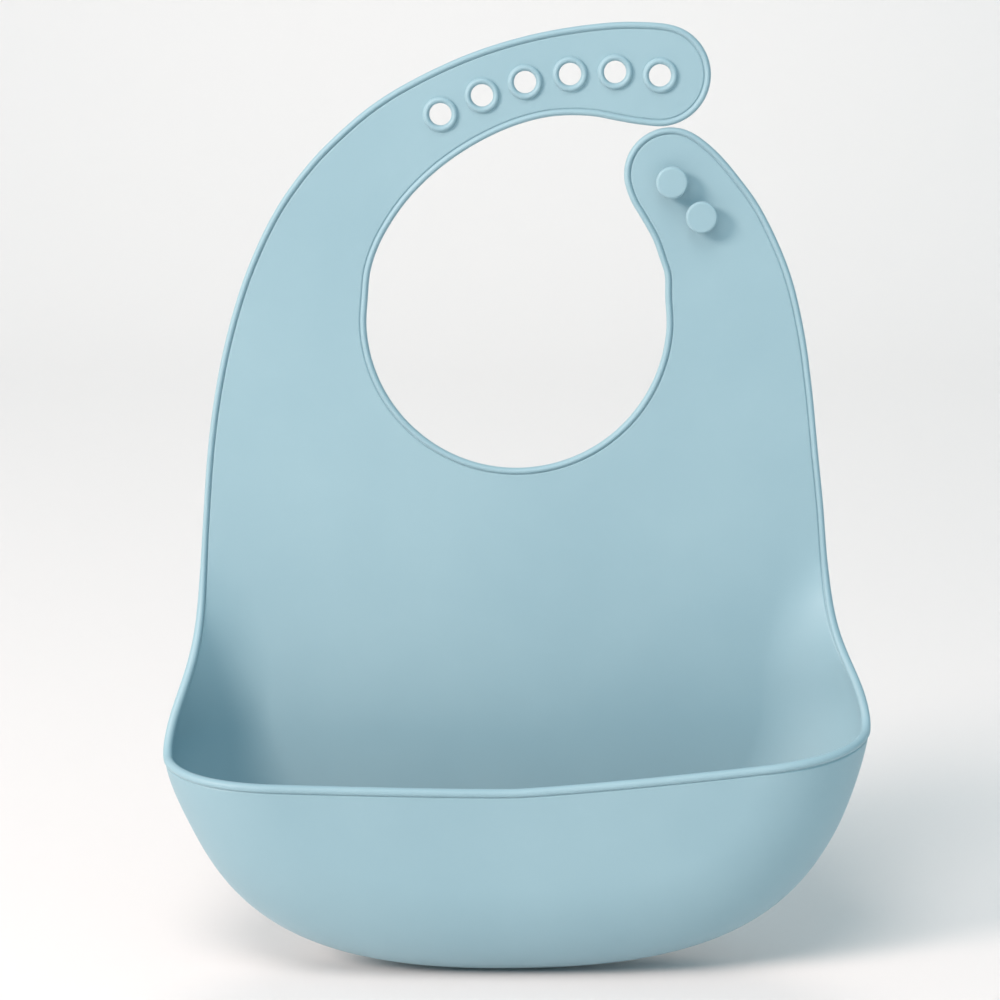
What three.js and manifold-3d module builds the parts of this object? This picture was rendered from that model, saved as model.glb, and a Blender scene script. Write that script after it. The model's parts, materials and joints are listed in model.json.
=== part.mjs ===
// A baby's silicone bib with a crumb pocket, worn upright: front faces -Y, +Z up, millimetres.
// The origin is the centre of the neck opening, in the middle of the sheet's thickness.
// The bib is one moulding; each region and moulded feature is a solid of its own,
// and the regions that flex against each other are separated along their bend lines.
import * as THREE from 'three';
import { mergeVertices } from 'three/addons/utils/BufferGeometryUtils.js';
import Module from 'manifold-3d';

const wasm = await Module();
wasm.setup();

// ---- driving dimensions, mm and degrees ----
const SHEET = 1.8; // wall thickness everywhere
const BEAD_RADIUS = 1.4; // round bead along every edge
const BEAD_SIDES = 6;
const GAP = 0.3; // between neighbouring solids
const FLEX_GAP = 1.9; // beside a bend line, so that the beads clear when the sheet folds

const NECK_RADIUS = 46; // lower half of the neck opening
const FOLD_Z = -60; // the panel folds across here
const STRAP_ROOT_Z = 16; // both straps bend here

const STRAP_CENTRE = [28.1, -34.4]; // the long strap's eyelets lie on a circle about this point
const EYELET_CIRCLE_RADIUS = 109.7;
const EYELET_ANGLES = [117.8, 110.6, 103.5, 96.3, 89.2, 82.1];
const MIDDLE_BEND_ANGLE = 125; // bend line between the long strap's root and middle
const TIP_BEND_ANGLE = 100; // bend line between its middle and tip
const EYELET_HOLE_RADIUS = 3.6;
const EYELET_RIM_RADIUS = 5.5;
const EYELET_RIM_HEIGHT = 1.1; // over the sheet's front
const LONG_TIP = { centre: [43.2, 74.4], radius: 15.3 };

const SHORT_TIP = { centre: [46.6, 44.4], radius: 14 };
const STUDS = { stud_upper: [46.9, 42.4], stud_lower: [56.0, 31.9] };
const STUD_STEM_RADIUS = 3.3;
const STUD_HEAD_RADIUS = 4.85;
const STUD_HEIGHT = 5.2; // over the sheet's front
const STUD_HEAD_THICKNESS = 2.2;
const STUD_HEAD_BACK_BEVEL = 0.2;
const STUD_HEAD_EASED = 0.6; // rounding of the head's front edge

const CORNER_Z = -125; // the pocket's two corners, where the lip meets the sides
const POCKET_HALF_WIDTH = 107.8;
const POCKET_HEIGHT = 72.8; // from the corners down to the lowest point
const POCKET_ROUNDNESS = 2.42; // exponent of the superellipse that outlines the pocket
const POCKET_TUCK = 0.05; // the outline's sides are drawn in by this share, most at mid height
const BACK_ROUNDING = 25.5; // quarter circle from the back wall to the pocket's side
const FRONT_ROUNDING = 32; // inward reach of the rounding from the side to the front wall
const LIP_DEPTH = 52; // front to back at the lip
const FLOOR_DEPTH = 44; // front to back at the pocket's floor
const LIP_DIP = 9; // the lip's middle hangs this far below its corners
const LIP_RISE = { soft: 0.8, softPower: 1.3, steep: 0.2, steepPower: 16 }; // shares of the dip regained
const CURL_LENGTH = BACK_ROUNDING * Math.PI / 2; // width of sheet that curls forward at each side
const CURL_START_Z = -62; // the side edges are flat above this
const CURL_GROWTH = 1.6;
const LEAN = 0.0415; // the soft lip hangs lower on the long strap's side, by this slope
const FLOOR_LEAN_SHARE = 0.3; // of that slope, in the pocket's lower part
const LEAN_FADE = 30; // the slope falls to that share over this height below the corners
const FOLD_HALF_WIDTH = 96.4; // where the sides start to curl
const FOLD_SHIFT = 0.8; // the panel's middle lies this far towards the long strap at the fold
const SIDE_WIDENING = 0.08; // the sides widen by this slope below the fold
const FLARE = 6.4; // and by this much more towards the corners
const FLARE_START_Z = -94;

// The flat sheet's edge from the fold up the long strap's side, [x, z]
const LONG_OUTER_EDGE = [
  [-98.4, -80], [-97.2, -62], [-95.3, -40], [-92.6, -21.7], [-88.4, -3.1], [-82.3, 15.4],
  [-73.4, 33.7], [-63.5, 47.3], [-54.6, 56.4], [-43.8, 65.4], [-32.2, 72.5], [-14.1, 80.8],
  [4, 86.3], [22, 89.4], [35.5, 90.2],
];
const LONG_INNER_EDGE = [
  [37.3, 59.5], [31.2, 60.5], [22, 62.1], [10.3, 61.9], [0.7, 59.6], [-7.8, 56.1], [-15.4, 51.9],
  [-22.2, 47.2], [-28.2, 42], [-33.5, 36.3], [-38.1, 29.9], [-41.9, 23], [-44.5, 15.4],
];
const SHORT_INNER_EDGE = [
  [45.2, 14], [43.8, 18.4], [41.6, 24.5], [38.2, 30.6], [34.6, 36.7],
];
const SHORT_OUTER_EDGE = [
  [60.2, 51.8], [68, 43], [74.6, 33.7], [83.2, 15.4], [88.1, -3.1], [91, -21.7],
  [93.1, -40], [95.6, -62], [96.8, -80],
];

// ---- materials ----
const silicone = new THREE.MeshStandardMaterial({ color: 0xa4c5d0, roughness: 0.55, metalness: 0 });

// ---- small helpers ----
const radians = THREE.MathUtils.degToRad;
const point2 = ([x, z]) => new THREE.Vector2(x, z);

function pointsOnCircle(centre, radius, fromDegrees, toDegrees, count) {
  const points = [];
  for (let i = 0; i < count; i += 1) {
    const angle = radians(THREE.MathUtils.lerp(fromDegrees, toDegrees, i / (count - 1)));
    points.push([centre[0] + radius * Math.cos(angle), centre[1] + radius * Math.sin(angle)]);
  }
  return points;
}

// Turns a geometry's faces outward if they all face in.
function facingOut(positions, indices) {
  const [a, b, c] = [new THREE.Vector3(), new THREE.Vector3(), new THREE.Vector3()];
  let volume = 0;
  for (let i = 0; i < indices.length; i += 3) {
    a.fromArray(positions, 3 * indices[i]);
    b.fromArray(positions, 3 * indices[i + 1]);
    c.fromArray(positions, 3 * indices[i + 2]);
    volume += a.dot(b.cross(c));
  }
  const ordered = volume > 0 ? indices : indices.slice().reverse();
  const geometry = new THREE.BufferGeometry();
  geometry.setAttribute('position', new THREE.Float32BufferAttribute(positions, 3));
  geometry.setIndex(ordered);
  return geometry;
}

function toSolid(geometry) {
  const bare = geometry.clone();
  bare.deleteAttribute('normal');
  bare.deleteAttribute('uv');
  const merged = mergeVertices(bare, 1e-4);
  const mesh = new wasm.Mesh({
    numProp: 3,
    vertProperties: new Float32Array(merged.attributes.position.array),
    triVerts: new Uint32Array(merged.index.array),
  });
  return new wasm.Manifold(mesh);
}

function toGeometry(solid) {
  const { vertProperties, triVerts } = solid.getMesh();
  const geometry = new THREE.BufferGeometry();
  geometry.setAttribute('position', new THREE.Float32BufferAttribute(vertProperties, 3));
  geometry.setIndex(Array.from(triVerts));
  return geometry;
}

// The biggest separate body of a cut solid, without the slivers that a cut can leave.
function mainBody(solid) {
  return solid.decompose().reduce((best, body) => (body.volume() > best.volume() ? body : best));
}

// A round bar along a path, with flat ends.
function tube(path, radius) {
  const positions = [];
  const indices = [];
  const normal = new THREE.Vector3(0, 1, 0);
  const tangent = new THREE.Vector3();
  const binormal = new THREE.Vector3();
  path.forEach((centre, i) => {
    tangent.subVectors(path[Math.min(i + 1, path.length - 1)], path[Math.max(i - 1, 0)]).normalize();
    normal.addScaledVector(tangent, -normal.dot(tangent)).normalize();
    binormal.crossVectors(tangent, normal);
    for (let k = 0; k < BEAD_SIDES; k += 1) {
      const angle = (2 * Math.PI * (k + 0.5)) / BEAD_SIDES;
      const corner = centre.clone();
      corner.addScaledVector(normal, radius * Math.cos(angle));
      corner.addScaledVector(binormal, radius * Math.sin(angle));
      positions.push(...corner.toArray());
    }
  });
  for (let i = 0; i < path.length - 1; i += 1) {
    for (let k = 0; k < BEAD_SIDES; k += 1) {
      const here = i * BEAD_SIDES + k;
      const beside = i * BEAD_SIDES + (k + 1) % BEAD_SIDES;
      indices.push(here, beside, here + BEAD_SIDES, beside, beside + BEAD_SIDES, here + BEAD_SIDES);
    }
  }
  const last = (path.length - 1) * BEAD_SIDES;
  for (let k = 1; k < BEAD_SIDES - 1; k += 1) {
    indices.push(0, k + 1, k, last, last + k, last + k + 1);
  }
  return facingOut(positions, indices);
}

// A curved wall: rows of { point, normal } on its middle surface, thickened by half the sheet each way.
function wall(rows) {
  const across = rows[0].length;
  const positions = [];
  for (const side of [1, -1]) {
    for (const row of rows) {
      for (const { point, normal } of row) {
        positions.push(...point.clone().addScaledVector(normal, side * SHEET / 2).toArray());
      }
    }
  }
  const back = rows.length * across;
  const indices = [];
  const quad = (a, b, c, d) => indices.push(a, b, c, a, c, d);
  for (let j = 0; j < rows.length - 1; j += 1) {
    for (let i = 0; i < across - 1; i += 1) {
      const at = j * across + i;
      quad(at, at + 1, at + across + 1, at + across);
      quad(back + at + across, back + at + across + 1, back + at + 1, back + at);
    }
    const left = j * across;
    const right = left + across - 1;
    quad(left, left + across, back + left + across, back + left);
    quad(right + across, right, back + right, back + right + across);
  }
  for (let i = 0; i < across - 1; i += 1) {
    const bottom = (rows.length - 1) * across + i;
    quad(i + 1, i, back + i, back + i + 1);
    quad(bottom, bottom + 1, back + bottom + 1, back + bottom);
  }
  return facingOut(positions, indices);
}

// A flat plate with an outline in the XZ plane, between two depths.
function plate(outline, frontY, backY) {
  const shape = new THREE.Shape(outline.map(point2));
  const geometry = new THREE.ExtrudeGeometry(shape, { depth: backY - frontY, bevelEnabled: false });
  geometry.rotateX(Math.PI / 2);
  geometry.translate(0, backY, 0);
  return geometry;
}

const FAR = 140; // beyond every side of the bib
const sheetPlate = (outline) => toSolid(plate(outline, -SHEET / 2, SHEET / 2));
const zone = (outline) => toSolid(plate(outline, -FAR, FAR));
const box = (x0, x1, z0, z1) => zone([[x0, z0], [x1, z0], [x1, z1], [x0, z1]]);

// ---- the flat sheet's edge: up the long strap's side, round both straps and the neck, and down ----
const edgePoints = [
  ...LONG_OUTER_EDGE,
  ...pointsOnCircle(LONG_TIP.centre, LONG_TIP.radius, 72, -82, 7),
  ...LONG_INNER_EDGE,
  ...pointsOnCircle([0, 0], NECK_RADIUS, 171, 369, 17),
  ...SHORT_INNER_EDGE,
  ...pointsOnCircle(SHORT_TIP.centre, SHORT_TIP.radius, 187, 62, 7),
  ...SHORT_OUTER_EDGE,
];
const flatEdge = new THREE.CatmullRomCurve3(
  edgePoints.map(([x, z]) => new THREE.Vector3(x, 0, z)),
  false,
  'centripetal',
);
const FLAT_EDGE_STEPS = 150;

// The edge moved inward by a distance, towards the sheet.
function insideFlatEdge(distance) {
  const points = [];
  for (let i = 0; i <= FLAT_EDGE_STEPS; i += 1) {
    const along = flatEdge.getTangentAt(i / FLAT_EDGE_STEPS);
    const inward = new THREE.Vector3(along.z, 0, -along.x);
    points.push(flatEdge.getPointAt(i / FLAT_EDGE_STEPS).addScaledVector(inward, distance));
  }
  return points;
}

// ---- the sides below the fold, and the pocket ----
function halfWidthAt(z) {
  const flare = FLARE * THREE.MathUtils.smoothstep(-z, -FLARE_START_Z, -CORNER_Z);
  return FOLD_HALF_WIDTH + SIDE_WIDENING * (CURL_START_Z - z) + flare;
}

// The half section across the sheet at a height between the fold and the corners: flat, then an arc.
// share runs along the curling strip, from 0 at its start to 1 at the edge.
function curlAt(z, share) {
  const drop = Math.max((CURL_START_Z - z) / (CURL_START_Z - CORNER_Z), 0.02);
  const bend = (Math.PI / 2) * drop ** CURL_GROWTH;
  const radius = CURL_LENGTH / bend;
  const angle = bend * share;
  const x = halfWidthAt(z) - radius * (Math.sin(bend) - Math.sin(angle));
  return {
    point: new THREE.Vector3(x, -radius * (1 - Math.cos(angle)), z),
    normal: new THREE.Vector3(-Math.sin(angle), -Math.cos(angle), 0),
  };
}

// The pocket's outline seen from the front: angle 0 at the right corner, 180 at the left, through the bottom.
function outlineAt(degrees) {
  const angle = radians(degrees);
  const power = 2 / POCKET_ROUNDNESS;
  const across = Math.abs(Math.cos(angle)) ** power * Math.sign(Math.cos(angle));
  const down = Math.abs(Math.sin(angle)) ** power;
  const drawnIn = 1 - POCKET_TUCK * Math.sin(Math.PI * down);
  return new THREE.Vector2(POCKET_HALF_WIDTH * across * drawnIn, CORNER_Z - POCKET_HEIGHT * down);
}

// Unit vector into the pocket's outline, square to it.
function inwardAt(degrees) {
  const step = 0.5;
  const before = outlineAt(Math.max(degrees - step, 0));
  const after = outlineAt(Math.min(degrees + step, 180));
  const along = after.sub(before).normalize();
  return new THREE.Vector2(along.y, -along.x);
}

function frontDepth(z) {
  return THREE.MathUtils.mapLinear(z, CORNER_Z, CORNER_Z - POCKET_HEIGHT, LIP_DEPTH, FLOOR_DEPTH);
}

function lipHeight(x) {
  const across = Math.min(Math.abs(x) / POCKET_HALF_WIDTH, 1);
  const { soft, softPower, steep, steepPower } = LIP_RISE;
  return CORNER_Z - LIP_DIP * (1 - soft * across ** softPower - steep * across ** steepPower);
}

// Depth of the front wall's middle surface at a distance inside the outline.
function frontY(inside, z) {
  const along = Math.min(inside / FRONT_ROUNDING, 1);
  return -BACK_ROUNDING - (frontDepth(z) - BACK_ROUNDING) * Math.sqrt(1 - (1 - along) ** 2);
}

// The bead below the fold, right half: down the curling side, round the corner, along the lip to its middle.
const lowerBeadPoints = [];
for (const z of [-62, -70, -78, -86, -94, -102, -110, -117, -122]) {
  lowerBeadPoints.push(curlAt(z, 1 - BEAD_RADIUS / CURL_LENGTH).point);
}
for (const x of [107.2, 106, 103, 97, 88, 75, 60, 40, 20, 0]) {
  const z = lipHeight(x) - BEAD_RADIUS;
  lowerBeadPoints.push(new THREE.Vector3(x, frontY(POCKET_HALF_WIDTH - x, z), z));
}
const lowerBeadCurve = new THREE.CatmullRomCurve3(lowerBeadPoints, false, 'centripetal');
const lowerBeadHalf = lowerBeadCurve.getSpacedPoints(40);
const mirrored = ({ x, y, z }) => new THREE.Vector3(-x, y, z);
const lowerBeadPath = [...lowerBeadHalf, ...lowerBeadHalf.slice(0, -1).reverse().map(mirrored)];

// The belly panel, from the fold down to the pocket's corners.
function bellyRow(z) {
  const half = [];
  const curlSteps = 7;
  for (let i = 0; i <= curlSteps; i += 1) {
    half.push(curlAt(z, (i / curlSteps) * (1 - BEAD_RADIUS / CURL_LENGTH)));
  }
  const flip = ({ point, normal }) => ({
    point: mirrored(point),
    normal: new THREE.Vector3(-normal.x, normal.y, normal.z),
  });
  const middle = { point: new THREE.Vector3(0, 0, z), normal: new THREE.Vector3(0, -1, 0) };
  return [...half.map(flip).reverse(), middle, ...half];
}

const bellyRows = [];
const BELLY_STEPS = 10;
for (let i = 0; i <= BELLY_STEPS; i += 1) {
  bellyRows.push(bellyRow(THREE.MathUtils.lerp(FOLD_Z - FLEX_GAP, CORNER_Z + GAP / 2, i / BELLY_STEPS)));
}

// The pocket's floor and side walls: a trough whose C-shaped section follows the outline.
// Each section runs from the back wall, round the outline, to the front wall.
function troughSection(degrees) {
  const outline = outlineAt(degrees);
  const inward = inwardAt(degrees);
  const section = [];
  const steps = 12;
  for (let i = 0; i <= steps; i += 1) {
    const angle = (Math.PI * i) / steps;
    const onBack = i <= steps / 2;
    const reach = onBack ? BACK_ROUNDING : FRONT_ROUNDING;
    const inside = reach * (1 - Math.sin(angle));
    const x = outline.x + inward.x * inside;
    const z = outline.y + inward.y * inside;
    const y = onBack ? -BACK_ROUNDING * (1 - Math.cos(angle)) : frontY(inside, z);
    const depth = onBack ? BACK_ROUNDING : frontDepth(z) - BACK_ROUNDING;
    const slope = new THREE.Vector2(Math.sin(angle) * depth, -Math.cos(angle) * reach).normalize();
    section.push({
      point: new THREE.Vector3(x, y, z),
      normal: new THREE.Vector3(inward.x * slope.x, slope.y, inward.y * slope.x),
    });
  }
  return section;
}

const troughRows = [];
const TROUGH_STEPS = 36;
for (let i = 0; i <= TROUGH_STEPS; i += 1) {
  troughRows.push(troughSection((180 * i) / TROUGH_STEPS));
}

// The outline moved inward by a distance, for the flat walls inside the trough.
function outlineInside(distance) {
  const points = [];
  for (let i = 0; i <= TROUGH_STEPS; i += 1) {
    const degrees = (180 * i) / TROUGH_STEPS;
    const moved = outlineAt(degrees).addScaledVector(inwardAt(degrees), distance);
    points.push([moved.x, moved.y]);
  }
  return points;
}

const lipLine = [];
const LIP_STEPS = 40;
for (let i = 0; i <= LIP_STEPS; i += 1) {
  const x = THREE.MathUtils.lerp(-POCKET_HALF_WIDTH - 5, POCKET_HALF_WIDTH + 5, i / LIP_STEPS);
  lipLine.push([x, lipHeight(x) - BEAD_RADIUS]);
}

// ---- solids before they are parted ----
const flatSheet = sheetPlate(insideFlatEdge(2 * BEAD_RADIUS + GAP).map(({ x, z }) => [x, z]));
const flatBead = toSolid(tube(insideFlatEdge(BEAD_RADIUS), BEAD_RADIUS));
const lowerBead = toSolid(tube(lowerBeadPath, BEAD_RADIUS));
const lowerBeadRoom = toSolid(tube(lowerBeadPath, BEAD_RADIUS + GAP));
const aboveLip = toSolid(plate([...lipLine, [FAR, 0], [-FAR, 0]], -FAR, -BACK_ROUNDING));

// ---- zones between bend lines, as prisms through the sheet ----
const strapRay = (degrees, radius) => pointsOnCircle(STRAP_CENTRE, radius, degrees, degrees + 1, 2)[0];
const BETWEEN_TIPS_Z = LONG_TIP.centre[1] - LONG_TIP.radius - GAP;
const BESIDE_SHORT_TIP = { x: 28, z: 45 };
const BETWEEN_STRAPS_X = 26;
const BESIDE_NECK_X = 60;
const INSIDE_STRAP_RADIUS = 78; // about the strap's centre, clear of its inner edge

// The side of a bend line across the long strap that lies towards the strap's tip, moved by a distance.
function beyondBend(degrees, moved) {
  const turned = radians(degrees - 90);
  const shift = ([x, z]) => [x + moved * Math.cos(turned), z + moved * Math.sin(turned)];
  const near = shift(strapRay(degrees, INSIDE_STRAP_RADIUS));
  const far = shift(strapRay(degrees, FAR));
  const { x, z } = BESIDE_SHORT_TIP;
  return zone([near, [x, z], [x, BETWEEN_TIPS_Z], [FAR, BETWEEN_TIPS_Z], [FAR, FAR], far]);
}

const leftOfStraps = box(-FAR, BETWEEN_STRAPS_X, STRAP_ROOT_Z, FAR);
const pastMiddleBend = beyondBend(MIDDLE_BEND_ANGLE, 0);
const pastTipBend = beyondBend(TIP_BEND_ANGLE, 0);
const zones = {
  chest: box(-FAR, FAR, FOLD_Z, STRAP_ROOT_Z - FLEX_GAP),
  longRoot: leftOfStraps.subtract(beyondBend(MIDDLE_BEND_ANGLE, -FLEX_GAP)),
  longMiddle: pastMiddleBend.subtract(beyondBend(TIP_BEND_ANGLE, -FLEX_GAP)),
  longTip: pastTipBend,
  short: box(BETWEEN_STRAPS_X, FAR, STRAP_ROOT_Z, BETWEEN_TIPS_Z - GAP),
  leftSide: box(-FAR, -BESIDE_NECK_X, FOLD_Z, STRAP_ROOT_Z - FLEX_GAP),
  rightSide: box(BESIDE_NECK_X, FAR, FOLD_Z, STRAP_ROOT_Z - FLEX_GAP),
  neck: box(-BESIDE_NECK_X, BESIDE_NECK_X, FOLD_Z, STRAP_ROOT_Z - FLEX_GAP),
  insideStrapLine: zone([STRAP_CENTRE, ...pointsOnCircle(STRAP_CENTRE, EYELET_CIRCLE_RADIUS, 60, 200, 60)]),
};
const MOUTH_HALF_WIDTH = POCKET_HALF_WIDTH - FRONT_ROUNDING; // the lip between the two rounded corners
const frontLip = box(-MOUTH_HALF_WIDTH + FLEX_GAP, MOUTH_HALF_WIDTH - FLEX_GAP, -FAR, CORNER_Z);
const rightLip = box(MOUTH_HALF_WIDTH + GAP, FAR, -FAR, FOLD_Z - FLEX_GAP);
const leftLip = box(-FAR, -MOUTH_HALF_WIDTH - GAP, -FAR, FOLD_Z - FLEX_GAP);

// ---- assembling the bib ----
const bib = new THREE.Group();
bib.name = 'silicone_bib';

function addMesh(name, geometry) {
  geometry.computeVertexNormals();
  const mesh = new THREE.Mesh(geometry, silicone);
  mesh.name = name;
  bib.add(mesh);
  return mesh;
}

const addSolid = (name, solid) => addMesh(name, toGeometry(mainBody(solid)));

// The soft lip hangs a little lower on the long strap's side: a shear that fades out up to the fold
// and down into the pocket. At the fold the belly meets the chest, which lies a little to that side.
function leanLower(geometry) {
  const { position } = geometry.attributes;
  for (let i = 0; i < position.count; i += 1) {
    const z = position.getZ(i);
    const above = THREE.MathUtils.smoothstep(-z, -CURL_START_Z, -CORNER_Z);
    const below = (1 - FLOOR_LEAN_SHARE) * THREE.MathUtils.smoothstep(CORNER_Z - z, 0, LEAN_FADE);
    position.setZ(i, z + LEAN * position.getX(i) * (above - below));
    position.setX(i, position.getX(i) - FOLD_SHIFT * (1 - above));
  }
  return geometry;
}

const addLower = (name, solid) => addMesh(name, leanLower(toGeometry(mainBody(solid))));

// Flat sheet and its beads
const eyeletPlaces = EYELET_ANGLES.map((degrees) => strapRay(degrees, EYELET_CIRCLE_RADIUS));
const roomForEyelets = eyeletPlaces
  .map((centre) => zone(pointsOnCircle(centre, EYELET_RIM_RADIUS + GAP, 0, 345, 24)))
  .reduce((all, one) => all.add(one));
addSolid('chest_panel', flatSheet.intersect(zones.chest));
addSolid('long_strap_root', flatSheet.intersect(zones.longRoot));
addSolid('long_strap_middle', flatSheet.intersect(zones.longMiddle).subtract(roomForEyelets));
addSolid('long_strap_tip', flatSheet.intersect(zones.longTip).subtract(roomForEyelets));
addSolid('short_strap', flatSheet.intersect(zones.short));
addSolid('neck_bead', flatBead.intersect(zones.neck));
addSolid('chest_bead_left', flatBead.intersect(zones.leftSide));
addSolid('chest_bead_right', flatBead.intersect(zones.rightSide));
addSolid('long_root_bead_inner', flatBead.intersect(zones.longRoot).intersect(zones.insideStrapLine));
addSolid('long_root_bead_outer', flatBead.intersect(zones.longRoot).subtract(zones.insideStrapLine));
addSolid('long_middle_bead_inner', flatBead.intersect(zones.longMiddle).intersect(zones.insideStrapLine));
addSolid('long_middle_bead_outer', flatBead.intersect(zones.longMiddle).subtract(zones.insideStrapLine));
addSolid('long_tip_bead', flatBead.intersect(zones.longTip));
addSolid('short_strap_bead', flatBead.intersect(zones.short));

// Eyelets: a collar through the strap with a half-round rim on its front
const collarMiddle = (EYELET_HOLE_RADIUS + EYELET_RIM_RADIUS) / 2;
const collarHalf = (EYELET_RIM_RADIUS - EYELET_HOLE_RADIUS) / 2;
const collarProfile = [
  new THREE.Vector2(EYELET_RIM_RADIUS, SHEET / 2),
  new THREE.Vector2(EYELET_HOLE_RADIUS, SHEET / 2),
];
for (let i = 0; i <= 4; i += 1) {
  const angle = (Math.PI * i) / 4;
  const radius = collarMiddle - collarHalf * Math.cos(angle);
  collarProfile.push(new THREE.Vector2(radius, -SHEET / 2 - EYELET_RIM_HEIGHT * Math.sin(angle)));
}
collarProfile.push(collarProfile[0].clone());
eyeletPlaces.forEach(([x, z], i) => {
  const collar = toGeometry(toSolid(new THREE.LatheGeometry(collarProfile, 24)));
  addMesh(`eyelet_${i + 1}`, collar).position.set(x, 0, z);
});

// Studs: a stem on the short strap's front with a flat round head
const foot = -SHEET / 2 - GAP;
const top = -SHEET / 2 - STUD_HEIGHT;
const headBack = top + STUD_HEAD_THICKNESS;
const EASED_MIDDLE = 0.3 * STUD_HEAD_EASED;
const studProfile = [
  [0, foot],
  [STUD_STEM_RADIUS, foot],
  [STUD_STEM_RADIUS, headBack],
  [STUD_HEAD_RADIUS - STUD_HEAD_BACK_BEVEL, headBack],
  [STUD_HEAD_RADIUS, headBack - STUD_HEAD_BACK_BEVEL],
  [STUD_HEAD_RADIUS, top + STUD_HEAD_EASED],
  [STUD_HEAD_RADIUS - EASED_MIDDLE, top + EASED_MIDDLE],
  [STUD_HEAD_RADIUS - STUD_HEAD_EASED, top],
  [0, top],
].reverse().map(point2);
for (const [name, [x, z]] of Object.entries(STUDS)) {
  const stud = toGeometry(toSolid(new THREE.LatheGeometry(studProfile, 24)));
  addMesh(name, stud).position.set(x, 0, z);
}

// Belly and pocket
const belly = toSolid(wall(bellyRows));
const trough = toSolid(wall(troughRows));
const backWall = sheetPlate(outlineInside(BACK_ROUNDING + GAP));
const aboveMouth = zone([...lipLine, [FAR, 0], [-FAR, 0]]);
const frontPlate = toGeometry(sheetPlate(outlineInside(FRONT_ROUNDING + GAP)).subtract(aboveMouth));
const frontPosition = frontPlate.attributes.position;
for (let i = 0; i < frontPosition.count; i += 1) {
  frontPosition.setY(i, frontPosition.getY(i) - frontDepth(frontPosition.getZ(i)));
}
const belowCorners = box(-FAR, FAR, -2 * FAR, CORNER_Z - GAP / 2);
addLower('belly_panel', belly.subtract(lowerBeadRoom));
addLower('pocket_back_wall', backWall.intersect(belowCorners));
addLower('pocket_floor', trough.intersect(belowCorners).subtract(aboveLip).subtract(lowerBeadRoom));
addLower('pocket_front_wall', toSolid(frontPlate).subtract(lowerBeadRoom));
addLower('pocket_lip_bead', lowerBead.intersect(frontLip));
addLower('side_bead_right', lowerBead.intersect(rightLip));
addLower('side_bead_left', lowerBead.intersect(leftLip));

export default bib;
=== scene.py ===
import json
import math

import bpy
import numpy as np
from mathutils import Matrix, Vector
from mathutils.geometry import delaunay_2d_cdt


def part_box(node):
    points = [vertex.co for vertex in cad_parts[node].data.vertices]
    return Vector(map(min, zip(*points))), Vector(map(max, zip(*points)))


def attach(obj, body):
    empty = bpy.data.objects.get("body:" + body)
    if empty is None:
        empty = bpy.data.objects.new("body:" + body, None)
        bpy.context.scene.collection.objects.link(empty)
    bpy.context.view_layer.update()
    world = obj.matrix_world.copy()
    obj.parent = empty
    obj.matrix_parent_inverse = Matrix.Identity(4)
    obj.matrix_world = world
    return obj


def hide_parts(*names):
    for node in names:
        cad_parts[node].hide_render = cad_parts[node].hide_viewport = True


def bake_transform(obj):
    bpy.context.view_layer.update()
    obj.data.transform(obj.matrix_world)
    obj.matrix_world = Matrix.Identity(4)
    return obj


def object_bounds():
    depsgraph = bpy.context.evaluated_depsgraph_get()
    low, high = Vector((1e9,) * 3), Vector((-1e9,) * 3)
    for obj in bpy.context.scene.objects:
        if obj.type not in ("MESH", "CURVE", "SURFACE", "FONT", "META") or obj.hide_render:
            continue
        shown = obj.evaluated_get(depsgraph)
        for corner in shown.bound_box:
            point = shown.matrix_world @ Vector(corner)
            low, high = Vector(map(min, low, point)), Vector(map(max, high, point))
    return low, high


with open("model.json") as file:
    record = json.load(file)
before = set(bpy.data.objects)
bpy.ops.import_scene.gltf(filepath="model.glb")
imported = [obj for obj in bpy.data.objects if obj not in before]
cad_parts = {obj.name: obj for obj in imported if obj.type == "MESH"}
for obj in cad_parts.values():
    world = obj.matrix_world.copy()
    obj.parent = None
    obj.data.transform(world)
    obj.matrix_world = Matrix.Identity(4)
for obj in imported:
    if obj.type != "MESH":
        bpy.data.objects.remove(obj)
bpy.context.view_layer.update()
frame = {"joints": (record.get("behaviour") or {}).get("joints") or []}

# A silicone bib with a crumb pocket, upright, front facing -Y. The whole moulding is laid out as one
# smooth skin in millimetres, then parted into pieces that ride on the frame's bodies or lie across the
# bends between them.

MM = 0.001

# ---- dimensions, mm: those of the frame's source, but for the bead, the tips and the curl's shape ----
HALF_SHEET = 0.9
BEAD_RADIUS = 1.42
NECK_RADIUS = 46
LONG_TIP = (43.2, 74.3, 15.35)  # centre x, z and radius
SHORT_TIP = (46.6, 44.65, 14.05)
CURL_START_Z = -62  # the side edges are flat above this
CORNER_Z = -125  # the pocket's two corners, where the lip meets the sides
POCKET_HALF_WIDTH = 107.8
POCKET_HEIGHT = 72.8  # from the corners down to the lowest point
POCKET_ROUNDNESS = 2.42  # exponent of the superellipse that outlines the pocket
POCKET_TUCK = 0.05  # the outline's sides are drawn in by this share, most at mid height
BACK_ROUNDING = 25.5  # quarter circle from the back wall to the pocket's side
FRONT_ROUNDING = 32  # inward reach of the rounding from the side to the front wall
LIP_DEPTH = 52  # front to back at the lip
FLOOR_DEPTH = 44  # front to back at the pocket's floor
LIP_DIP = 9  # the lip's middle hangs this far below its corners
LIP_SOFT, LIP_SOFT_POWER, LIP_STEEP, LIP_STEEP_POWER = 0.8, 1.3, 0.2, 16  # shares of the dip regained
CURL_LENGTH = BACK_ROUNDING * math.pi / 2  # width of sheet that curls forward at each side
CURL_TOP_SHARE = 0.3  # of that width, where the curl starts
LEAN = 0.0415  # the soft lip hangs lower on the long strap's side, by this slope
FLOOR_LEAN_SHARE = 0.3  # of that slope, in the pocket's lower part
LEAN_FADE = 30  # the slope falls to that share over this height below the corners
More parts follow.
